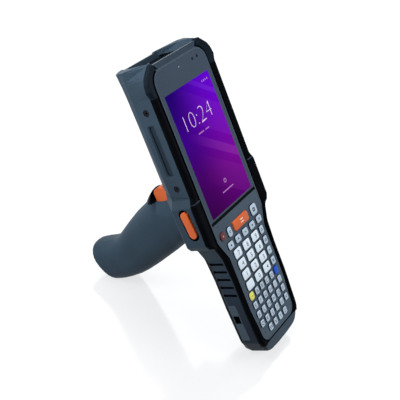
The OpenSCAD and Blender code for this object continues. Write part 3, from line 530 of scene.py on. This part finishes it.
def grow(bm, part, paint=0):
    """Adds a finished part to bm."""
    mesh = bpy.data.meshes.new("part")
    part.to_mesh(mesh)
    part.free()
    start = len(bm.faces)
    bm.from_mesh(mesh)
    bpy.data.meshes.remove(mesh)
    bm.faces.ensure_lookup_table()
    for face in bm.faces[start:]:
        face.material_index = paint


def round_edges(part, edges, offset, segments):
    bmesh.ops.bevel(
        part, geom=edges, offset=offset, offset_type="OFFSET", segments=segments,
        profile=0.5, affect="EDGES", material=-1, clamp_overlap=True,
    )


def block(x, y, w, h, r, low, high, edge=0.0):
    """Rounded rectangle from low to high, with the edge of its top rounded."""
    part = bmesh.new()
    middle = Matrix.Translation((x, y, (low + high) / 2))
    bmesh.ops.create_cube(part, size=1, matrix=middle @ Matrix.Diagonal((w, h, high - low, 1)))
    uprights = [e for e in part.edges if abs(e.verts[0].co.z - e.verts[1].co.z) > 1e-5]
    if r > 0:
        round_edges(part, uprights, min(r, w / 2 - 0.01, h / 2 - 0.01), 6)
    if edge:
        top = max(part.faces, key=lambda f: f.calc_center_median().z)
        round_edges(part, list(top.edges), edge, 3)
    return part


def disc(x, y, radius, z, segments=24, turn=0.0, hole=0.0):
    """Flat disc, ring or polygon facing up."""
    part = bmesh.new()
    place = Matrix.Translation((x, y, z)) @ Matrix.Rotation(math.radians(turn), 4, "Z")
    bmesh.ops.create_circle(part, cap_ends=True, segments=segments, radius=radius, matrix=place)
    if hole:
        made = bmesh.ops.inset_region(
            part, faces=part.faces[:], thickness=radius - hole, use_boundary=True,
            use_even_offset=True,
        )
        ring = set(made["faces"])
        middle = [f for f in part.faces if f not in ring]
        bmesh.ops.delete(part, geom=middle, context="FACES")
    for face in part.faces:
        face.normal_update()
        if face.normal.z < 0:
            face.normal_flip()
    return part


def figures(text, x, y, height, z, thin=0.0):
    """Flat figures of the built-in font, centred on x, y."""
    curve = bpy.data.curves.new("figures", "FONT")
    curve.body = text
    curve.align_x, curve.align_y = "CENTER", "CENTER"
    curve.size = height / 0.7
    curve.offset = -thin
    curve.resolution_u = 3
    ob = link("figures", curve)
    flat = ob.evaluated_get(bpy.context.evaluated_depsgraph_get())
    mesh = bpy.data.meshes.new_from_object(flat)
    bpy.data.objects.remove(ob)
    part = bmesh.new()
    part.from_mesh(mesh)
    bpy.data.meshes.remove(mesh)
    low = Vector([min(v.co[k] for v in part.verts) for k in range(3)])
    high = Vector([max(v.co[k] for v in part.verts) for k in range(3)])
    middle = (low + high) / 2
    bmesh.ops.translate(part, vec=Vector((x, y, z)) - middle, verts=part.verts)
    return part


# --- Shells --------------------------------------------------------------------------------

# Zones of the shells with a paint of their own, as spans in millimetres; several are painted
# shade.
WALL_CUT_Y, WALL_CUT_Z = (20, 100), (-12.7, -7.5)     # slot and screw holes in the head's wall, painted black as shade
WALL_Z = -6.5                                         # height at which that wall is measured
WALL_SLOT_SHADE_Y, WALL_SLOT_SHADE_Z = (41.3, 79.3), (-14.2, -8.0)        # painted shade in and round the slot
RECESS_HALF_WIDTH = 29.4                              # painted shade: the foot of the scan recess is black
RECESS_Y, RECESS_Z = (112, 114.3), (-33, -3.3)
NECK_CUT_Z, NECK_WALL_Z = (-20, -3), -2.7             # ribs and recesses in the body's wall, painted black as shade
HEAD_END = 20
GROOVE = (-5.7, -3.5)       # black line between display and keypad
GLASS_EDGE = -2.5           # the cover glass is black below this
FRAME_TOP = 112             # the frame's bar across the head begins here
GUARD_TOP = 96.6            # the bumpers are navy above this
GRIP_LIP, GRIP_LIP_Z = 11.6, (-68.6, -61)             # black lip under the trigger
IN_WALL = 0.3               # a face this far inside a wall belongs to a cut in it


def make_head():
    wall = wall_finder("head_cover", WALL_Z)

    def paint(c, n):
        out = abs(c.x)
        in_wall_slot_shade = inside(c.y, WALL_SLOT_SHADE_Y)
        # Slot and screw holes: painted shade, black, and dark grey in the middle of the slot.
        if inside(c.z, WALL_CUT_Z) and inside(c.y, WALL_CUT_Y) and 30 < out < wall(c.y) - IN_WALL:
            return 2 if in_wall_slot_shade else 1
        # The wall round the slot: painted shade.
        if in_wall_slot_shade and inside(c.z, WALL_SLOT_SHADE_Z) and out > 38:
            return 2
        # The scan recess's foot, not its back wall: painted shade in black.
        in_recess_shade = inside(c.z, RECESS_Z) and inside(c.y, RECESS_Y) and out < RECESS_HALF_WIDTH
        return int(in_recess_shade and abs(n.z) < 0.5)

    cuts = cuts_across("Y", *WALL_SLOT_SHADE_Y, RECESS_Y[1]) + cuts_across("Z", *WALL_SLOT_SHADE_Z)
    soften("head_cover", "head_shell", [BLACK_SHADE_AND_PRINT, WALL_SLOT_SHADE], paint, cuts, flat=7)


def make_body():
    wall = wall_finder("body_housing", NECK_WALL_Z)

    def paint(c, n):
        # Ribs and recesses in the wall: painted shade in black.
        if inside(c.z, NECK_CUT_Z) and c.y < HEAD_END and 25 < abs(c.x) < wall(c.y) - IN_WALL:
            return 1
        # Faces that don't face the front take the neck plastic with its painted shade.
        return 0 if n.z > 0.8 else 2

    soften("body_housing", "body_shell", [BLACK_SHADE_AND_PRINT, NECK], paint)


def make_frame():
    def paint(c, n):
        faces_up = n.z > 0.95
        # The frame's walls under its front: painted shade in black.
        if c.z < -0.05 and not faces_up and c.y < FRAME_TOP:
            return 1
        if inside(c.y, GROOVE) and abs(c.x) < 31.6:
            return 1
        return 2 if c.y > FRAME_TOP - 0.4 and faces_up and c.z < -0.2 else 0

    cuts = cuts_across("Y", FRAME_TOP - 1, *GROOVE)
    soften("front_bezel", "front_frame", [BLACK_SHADE_AND_PRINT, BAR], paint, cuts)


def make_shells():
    make_head()
    make_body()
    make_frame()
    for side in ("left", "right"):
        soften(
            "bumper_" + side, "edge_guard_" + side, [NAVY],
            lambda c, n: int(c.y > GUARD_TOP), cuts_across("Y", GUARD_TOP),
        )
        soften(
            f"grip_{side}_shell", "grip_" + side, [BLACK_SHADE_AND_PRINT],
            lambda c, n: int(c.y > GRIP_LIP and inside(c.z, GRIP_LIP_Z)),
            cuts_across("Y", GRIP_LIP) + cuts_across("Z", *GRIP_LIP_Z),
        )
    soften("grip_base_cap", "grip_foot")
    soften("battery_pack", "battery")
    soften("trigger", "trigger_lever", edge=1.1)
    soften("keypad_plate", "keypad_panel", edge=0.12)
    soften(
        "display_glass", "display_cover", [BLACK_SHADE_AND_PRINT],
        lambda c, n: int(c.y < GLASS_EDGE), cuts_across("Y", GLASS_EDGE), edge=0.12,
    )


BUTTON_AT = Vector((43.5, 3.6, -9.7))   # of the right one
BUTTON_TILT = math.radians(5)


def make_side_buttons():
    for side, s in (("left", -1), ("right", 1)):
        bm = bmesh.new()
        grow(bm, block(0, 0, 6.3, 21, 3.15, -1.7, 0.7, edge=1.3))
        grow(bm, block(0, 0, 3.6, 11, 0.8, -4, -1.75))
        place = Matrix.Translation((BUTTON_AT.x * s, BUTTON_AT.y, BUTTON_AT.z))
        turn = Matrix.Rotation(BUTTON_TILT * s, 4, "X") @ Matrix.Rotation(math.pi / 2 * s, 4, "Y")
        bmesh.ops.transform(bm, matrix=place @ turn, verts=bm.verts)
        node = "side_button_" + side
        paints = [MATERIALS[SLOT[node]]]
        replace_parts(piece("scan_button_" + side, bm, paints, node, 40), node)


# --- Keys ----------------------------------------------------------------------------------

KEY_FOOT, KEY_TOP = -0.95, 1.0
PRINT_Z = KEY_TOP + 0.012
PRINT_THICK = 0.006
TOP_Y = -16.4                                 # power, function and scan keys
ROW_Y, ROW_PITCH = -25.6, 10.56               # row of five keys below them
NUMBER_X = (-16.2, -3.3, 9.6)
NUMBER_Y, NUMBER_PITCH = -34.2, 8.95
SIDE_X = 20.1                                 # column of four keys beside the numbers
LETTER_X, LETTER_Y, LETTER_PITCH = 7.75, -69.3, 7.94
NUMBERS = ("7", "8", "9", "4", "5", "6", "1", "2", "3", "left", "0", "right")
LETTER_COLUMNS = (range(1, 5), range(6), range(6), range(6), range(1, 5))


def mark(bm, kind, x, y, s, z=PRINT_Z, paint=1):
    """Small plain symbols."""
    def stripe(up, thick):
        grow(bm, block(x, y + up * s, s, thick * s, 0, z - PRINT_THICK, z), paint)

    if kind == "bar":
        stripe(0, 0.24)
    elif kind == "bars":
        stripe(0.28, 0.2)
        stripe(-0.28, 0.2)
    elif kind == "ring":
        grow(bm, disc(x, y, 0.5 * s, z, hole=0.3 * s), paint)
    elif kind == "square":
        grow(bm, disc(x, y, 0.62 * s, z, segments=4, turn=45, hole=0.36 * s), paint)
    else:
        turn = {"right": 0, "up": 90, "left": 180, "down": 270}[kind]
        grow(bm, disc(x, y, 0.52 * s, z, segments=3, turn=turn - 90), paint)


def key(name, caps, marks, ink=PRINT, skirt=SKIRT_SHADE, edge=0.42):
    """Key caps of one moving piece.

    caps are x, y, width, height and corner radius, and marks are a figure or the kind of a
    mark, its x, y and size. The sides of a cap have the paint skirt, by default a painted shade.
    """
    bm = bmesh.new()
    for x, y, w, h, r in caps:
        start = len(bm.faces)
        grow(bm, block(x, y, w, h, r, KEY_FOOT, KEY_TOP, edge=edge))
        bm.faces.ensure_lookup_table()
        for face in bm.faces[start:]:
            face.normal_update()
            # The sides of each cap take skirt, by default a painted shade.
            if face.normal.z < 0.3:
                face.material_index = 2
    for kind, x, y, size in marks:
        if len(kind) == 1:
            grow(bm, figures(kind, x, y, size, PRINT_Z), 1)
        else:
            mark(bm, kind, x, y, size)
    paints = [MATERIALS[SLOT[name]], ink, skirt]
    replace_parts(piece("cap_" + name, bm, paints, name, 40), name)


def make_top_keys():
    x, y = -25.3, TOP_Y + 0.6
    key("power_key", [(x, y, 6.4, 6.4, 3.2)], [("ring", x, y, 1.2)],
        PALE_PRINT, MATERIALS["red_key"], 0.9)
    x, y = -16.3, TOP_Y - 0.3
    key("function_key_left", [(x, y, 5.2, 7.6, 2)], [("bars", x, y, 2.2)])
    key("scan_key", [(0.6, TOP_Y, 21.4, 8, 2)], [("bars", 1.6, TOP_Y + 0.2, 4)],
        PALE_PRINT, MATERIALS["orange_plastic"], 0.9)
    x, y = 19.6, TOP_Y - 0.2
    key("function_key_right", [(x, y, 8.2, 8.4, 2)], [("square", x, y, 3.4)])
    for k, kind in enumerate(("left", "up", "bar", "down", "right")):
        x = -20.6 + ROW_PITCH * k
        key(f"top_key_{k + 1}", [(x, ROW_Y, 7, 5.6, 1.4)], [(kind, x, ROW_Y, 2.4)])


def make_number_keys():
    for k, name in enumerate(NUMBERS):
        x, y = NUMBER_X[k % 3], NUMBER_Y - NUMBER_PITCH * (k // 3)
        marks = [(name, x + 0.8, y - 0.2, 3.6)] if name.isdigit() else []
        if name == "right":
            marks = [("left", x + 1.2, y, 2.8)]
        key("number_key_" + name, [(x, y, 9.6, 7.2, 1.6)], marks)
    for k, kind in enumerate(("bars", "ring", "bar", "square")):
        y = NUMBER_Y - NUMBER_PITCH * k
        key(f"side_key_{k + 1}", [(SIDE_X, y, 5.2, 6.4, 1.4)], [(kind, SIDE_X, y, 2.3)])


def make_letter_keys():
    x, y = 2.5 * LETTER_X, LETTER_Y
    key("yellow_key", [(-x, y, 6.2, 6.6, 2.2)], [("bar", -x, y, 1.6)], edge=0.9)
    key("blue_key", [(x, y, 5.6, 6.4, 1.6)], [("bar", x, y, 1.6)], edge=0.8)
    letter = ord("A")
    for row, columns in enumerate(LETTER_COLUMNS):
        caps, marks = [], []
        for column in columns:
            x, y = (column - 2.5) * LETTER_X, LETTER_Y - row * LETTER_PITCH
            caps.append((x, y, 4.8, 5.6, 1.1))
            marks.append((chr(letter), x, y - 0.1, 2.9))
            letter += 1
        key(f"letter_row_{row + 1}", caps, marks)


# --- Display -------------------------------------------------------------------------------

SCREEN = (0, 46.25, 56.2, 94.9)   # middle, width and height of the lit picture
SCREEN_Z = 0.02
FIGURES_Z = 0.028
WORDS = ((-4.5, 57.6, 7, 0.8), (3.6, 57.6, 5, 0.8), (1, 10.2, 15, 0.8))
STATUS_ICONS = (17.2, 19.4, 21.6, 24)
LIGHT_AT, LIGHT_RADIUS = (-1.5, 106.6, -0.06), 0.62


def make_display():
    bm = bmesh.new()
    grow(bm, block(*SCREEN, 0.5, 0.005, SCREEN_Z))
    piece("screen", bm, [screen_picture()])
    bm = bmesh.new()
    z = FIGURES_Z
    grow(bm, figures("10:24", -1, 69, 12.5, z, thin=0.58))
    for x, y, w, h in WORDS:
        grow(bm, block(x, y, w, h, 0.3, z - 0.004, z), 1)
    for k, x in enumerate(STATUS_ICONS):
        grow(bm, block(x, 88.8, 1.1, 1.2 + 0.3 * (k % 2), 0.3, z - 0.004, z), 1)
    mark(bm, "ring", 1, 17, 3.4, z)
    piece("screen_figures", bm, [SCREEN_WHITE, SCREEN_DIM])
    bm = bmesh.new()
    x, y, z = LIGHT_AT
    grow(bm, disc(x, y, LIGHT_RADIUS, z))
    piece("status_light", bm, [STATUS_LIGHT])


make_camera()
make_studio()
paint_nodes()
make_shells()
make_side_buttons()
make_top_keys()
make_number_keys()
make_letter_keys()
make_display()
